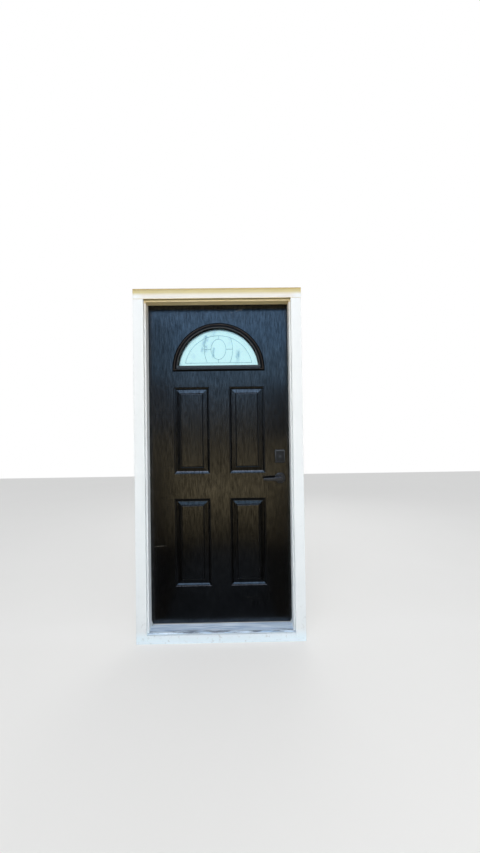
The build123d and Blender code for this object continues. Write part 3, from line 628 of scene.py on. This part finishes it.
def drive_screws(tree, name, facing, body, seed, finish):
    """Stands recessed screws in the place of a node's plain ones, which are all of one size."""
    axis = next(i for i in range(3) if facing[i])
    boxes = loose_boxes(name)
    places = []
    for low, high in boxes:
        spot = [(low[i] + high[i]) / 2 for i in range(3)]
        spot[axis] = high[axis] if facing[axis] > 0 else low[axis]
        places.append(spot)
    low, high = boxes[-1]
    radius = min(high[i] - low[i] for i in range(3) if i != axis) / 2
    blank = screw_blank(radius, high[axis] - low[axis])
    mesh = bpy.data.meshes.new(name + "_places")
    mesh.from_pydata(places, [], [])
    made = bpy.data.objects.new("recessed_" + name, mesh)
    bpy.context.collection.objects.link(made)
    driven = made.modifiers.new("driven", "NODES")
    driven.node_group = tree
    values = {"Screw": blank, "Facing": facing, "Seed": seed, "Finish": finish}
    for socket in tree.interface.items_tree:
        if socket.name in values:
            driven[socket.identifier] = values[socket.name]
    graph = bpy.context.evaluated_depsgraph_get()
    plain = bpy.data.meshes.new_from_object(made.evaluated_get(graph), depsgraph=graph)
    made.modifiers.remove(driven)
    made.data = plain
    bpy.data.objects.remove(blank)
    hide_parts(name)
    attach(made, body)


def make_screws(finish):
    """The screws that show, each with a cross recess."""
    tree = screw_tree()
    up, left, right, inwards = (0.0, 0.0, 1.0), (-1.0, 0.0, 0.0), (1.0, 0.0, 0.0), (0.0, 1.0, 0.0)
    rows = [("cap_screws", up, "frame"), ("strike_screws", left, "frame"),
            ("jamb_hinge_screws", right, "frame"), ("door_hinge_screws", left, "door"),
            ("faceplate_screws", right, "door"), ("lite_frame_screws", inwards, "door")]
    for seed, (name, facing, body) in enumerate(rows):
        drive_screws(tree, name, facing, body, seed, finish)


# Lead lines

def make_lead_lines():
    """The lead lines a hair clear of the outer pane, so that the two faces don't meet."""
    clearance = 0.0003
    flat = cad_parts["glass_caming"]
    mesh = flat.data.copy()
    for vert in mesh.vertices:
        vert.co.y = max(vert.co.y, came_front + clearance)
    made = bpy.data.objects.new("lead_lines", mesh)
    bpy.context.collection.objects.link(made)
    made.material_slots[0].link = "OBJECT"
    made.material_slots[0].material = flat.material_slots[0].material
    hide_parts("glass_caming")
    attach(made, "door")


# Stage

def make_camera():
    """The photograph's view: a wide lens at chest height, a little right of the door's middle."""
    picture_height = 853
    focal_pixels = 349.24
    eye = Vector((0.1078, -2.167, 1.2965))
    yaw, pitch, roll = (math.radians(angle) for angle in (0.6202, 0.613, -0.8156))
    ahead = Vector((math.sin(yaw) * math.cos(pitch), math.cos(yaw) * math.cos(pitch),
                    math.sin(pitch)))
    level = Vector((math.cos(yaw), -math.sin(yaw), 0.0))
    upright = level.cross(ahead)
    right = level * math.cos(roll) + upright * math.sin(roll)
    up = upright * math.cos(roll) - level * math.sin(roll)
    turned = Matrix((right, up, -ahead)).transposed().to_4x4()
    camera = bpy.data.objects.new("camera", bpy.data.cameras.new("camera"))
    camera.data.sensor_width = 36.0
    camera.data.lens = camera.data.sensor_width * focal_pixels / picture_height
    camera.data.clip_end = 200.0
    camera.matrix_world = Matrix.Translation(eye) @ turned
    bpy.context.collection.objects.link(camera)
    bpy.context.scene.camera = camera


def sheet(name, corners, material):
    """A flat four-cornered stage piece."""
    mesh = bpy.data.meshes.new(name)
    mesh.from_pydata(corners, [], [(0, 1, 2, 3)])
    mesh.materials.append(material)
    made = bpy.data.objects.new(name, mesh)
    bpy.context.collection.objects.link(made)
    return made


def make_floor():
    """A pale matt floor. Half of what the camera sees of it is its own light."""
    reach = 8
    height = -0.0005
    f = Finish("pale_floor")
    clouds = f.noise((1.2, 1.2, 1.2), 3.0)
    pale = f.mix(clouds, tone(226, 225, 222), tone(232, 231, 229))
    matt = f.node("BsdfPrincipled", None, {"Base Color": pale, "Roughness": 0.8})
    bright = f.node("Emission", None, {"Color": tone(246, 246, 245), "Strength": 1.0})
    seen = f.node("LightPath", output="Is Camera Ray") * 0.5
    shown = f.node("MixShader", None, {0: seen, 1: matt, 2: bright})
    f.node("OutputMaterial", None, {"Surface": shown})
    spots = ((-reach, -reach), (reach, -reach), (reach, reach), (-reach, reach))
    ground = sheet("floor", [(x, y, height) for x, y in spots], f.made)
    ground.visible_glossy = False


def make_world():
    """Soft surroundings that are white to the camera, in gloss and through glass."""
    ambient = ((0.97, 0.985, 1.0, 1.0), 0.5)
    white = ((1.0, 1.0, 1.0, 1.0), 1.0)
    world = bpy.data.worlds.new("studio")
    world.use_nodes = True
    bpy.context.scene.world = world
    nodes, links = world.node_tree.nodes, world.node_tree.links
    nodes.clear()
    path = nodes.new("ShaderNodeLightPath")
    seen = path.outputs["Is Camera Ray"]
    for ray in ("Is Glossy Ray", "Is Transmission Ray"):
        either = nodes.new("ShaderNodeMath")
        either.operation = "MAXIMUM"
        links.new(seen, either.inputs[0])
        links.new(path.outputs[ray], either.inputs[1])
        seen = either.outputs[0]
    blend = nodes.new("ShaderNodeMixShader")
    links.new(seen, blend.inputs[0])
    for socket, (colour, strength) in enumerate((ambient, white), 1):
        light = nodes.new("ShaderNodeBackground")
        light.inputs["Color"].default_value = colour
        light.inputs["Strength"].default_value = strength
        links.new(light.outputs[0], blend.inputs[socket])
    surroundings = nodes.new("ShaderNodeOutputWorld")
    links.new(blend.outputs[0], surroundings.inputs["Surface"])


def softbox(name, place, aim, size, power):
    """A square area lamp that looks at a point."""
    lamp = bpy.data.lights.new(name, "AREA")
    lamp.size = size
    lamp.energy = power
    holder = bpy.data.objects.new(name, lamp)
    holder.location = place
    holder.rotation_euler = (Vector(aim) - Vector(place)).to_track_quat("-Z", "Y").to_euler()
    holder.visible_glossy = False
    holder.visible_transmission = False
    bpy.context.collection.objects.link(holder)


def make_stage():
    """Pale floor, white surroundings, soft lamps and the cards that the gloss paint reflects."""
    make_floor()
    make_world()
    softbox("key", (-0.8, -3.9, 2.9), (0.0, 0.0, 1.0), size=2.4, power=79.0)
    softbox("fill", (2.2, -2.8, 1.7), (0.0, 0.0, 0.8), size=2.0, power=26.0)
    softbox("back", (0.8, 3.4, 3.2), (0.0, 0.0, 1.1), size=2.4, power=50.0)
    ground_cards()
    side_cards()
    rising_cards()
    slanted_cards()
    inner_cards()
    near_cards()


# Cards: what the gloss reflects and nothing else sees, in metres

card_reach = 30.0
dim_depth = 1.7
warm = tone(255, 234, 186)


def card(corners, colour, strength):
    """A plain shining sheet that only shows in reflections."""
    f = Finish("card")
    light = f.node("Emission", None, {"Color": colour, "Strength": strength})
    f.node("OutputMaterial", None, {"Surface": light})
    made = sheet("card", corners, f.made)
    made.visible_camera = False
    made.visible_diffuse = False
    made.visible_transmission = False
    made.visible_shadow = False


def level_card(across, away, height, colour, strength):
    """A level card: its reach in x, its reach in y, and its height."""
    (x0, x1), (y0, y1) = across, away
    corners = [(x0, y0, height), (x1, y0, height), (x1, y1, height), (x0, y1, height)]
    card(corners, colour, strength)


def facing_card(across, away, rise, colour, strength):
    """An upright card that faces the door: its reach in x, its y, and its reach in z."""
    (x0, x1), (z0, z1) = across, rise
    card([(x0, away, z0), (x1, away, z0), (x1, away, z1), (x0, away, z1)], colour, strength)


def upright_card(x, away, rise, colour, strength):
    """An upright card beside the door: its x, its reach in y, and its reach in z."""
    (y0, y1), (z0, z1) = away, rise
    card([(x, y0, z0), (x, y1, z0), (x, y1, z1), (x, y0, z1)], colour, strength)


def ground_cards():
    """Level bands in front that brighten away from the door, and a cooler strip before it."""
    strip = (-0.4, 0.36)
    strip_height = 0.001
    cool = tone(216, 234, 255)
    bands = [(0.0, dim_depth, 0.05), (dim_depth, 2.3, 0.28), (2.3, 3.6, 0.63), (3.6, 9.0, 1.52),
             (9.0, card_reach, 0.72)]
    for near, away, strength in bands:
        level_card((-card_reach, card_reach), (-away, -near), 0.0, warm, strength)
    level_card(strip, (-0.5, 0.0), strip_height, cool, 0.11)
    level_card(strip, (-dim_depth, -0.5), strip_height, cool, 0.16)


def side_cards():
    """Dim cards to the left and right of the door, and a pale one far beyond each."""
    side_x = 1.03
    low_top = 0.85
    grey = tone(200, 190, 180)
    for side, reach in ((-1, 1.9), (1, 1.5)):
        level_card(sorted((side * 0.5, side * 1.05)), (-dim_depth, 0.0), 0.002, warm, 0.01)
        upright_card(side * side_x, (-reach, -0.02), (0.0, 3.0), grey, 0.015)
        upright_card(side * side_x, (-3.2, -reach), (0.0, low_top), grey, 0.02)
        upright_card(side * card_reach, (-card_reach, 0.0), (0.0, card_reach),
                     tone(225, 235, 255), 0.6)


def rising_cards():
    """Far bands, bluer and brighter upwards, one card overhead, and a dim one below the head."""
    wide = (-card_reach, card_reach)
    bands = [(0.0, 1.6, warm, 0.4), (1.6, 3.4, tone(244, 240, 235), 0.55),
             (3.4, 5.4, tone(190, 222, 255), 1.1), (5.4, 9.0, tone(170, 214, 255), 1.9),
             (9.0, 13.0, tone(149, 201, 255), 2.9), (13.0, card_reach, tone(172, 208, 250), 3.9)]
    for low, high, hue, strength in bands:
        facing_card(wide, -card_reach, (low, high), hue, strength)
    level_card(wide, (-card_reach, 0.5), card_reach, tone(202, 216, 246), 5.0)
    level_card((-0.46, 0.46), (-0.034, -0.0005), 2.1015, warm, 0.01)


def slanted_cards():
    """Two level cards that widen away from the door, one to each side."""
    height = 0.003
    far_y = -6.5
    rows = [(-0.75, -3.2, -6.0, -1.35, 0.08), (0.62, 3.2, 6.0, 0.95, 0.2)]
    for near_inner, near_outer, far_outer, far_inner, strength in rows:
        corners = [(near_inner, -dim_depth, height), (near_outer, -dim_depth, height),
                   (far_outer, far_y, height), (far_inner, far_y, height)]
        card(corners, warm, strength)


def inner_cards():
    """A dim room behind the door: a level card, a far one and two sides."""
    start = 0.25
    grey = tone(236, 236, 236)
    level_card((-card_reach, card_reach), (start, card_reach), 0.0, grey, 0.2)
    facing_card((-card_reach, card_reach), card_reach, (0.0, card_reach), grey, 0.4)
    for side in (-card_reach, card_reach):
        upright_card(side, (start, card_reach), (0.0, card_reach), grey, 0.4)


def near_cards():
    """Small cards before both edges of the door, the brightest at the upper left."""
    y = -1.5
    left = (-1.0, -0.59)
    facing_card((0.43, 0.85), y, (1.2, 1.8), tone(225, 228, 235), 0.22)
    facing_card(left, y, (1.3, 1.85), tone(220, 225, 235), 0.45)
    facing_card(left, y, (1.85, 2.5), tone(165, 208, 250), 1.25)


bpy.context.scene.view_settings.view_transform = "Standard"
make_camera()
make_stage()
make_screws(dress_nodes())
make_lead_lines()
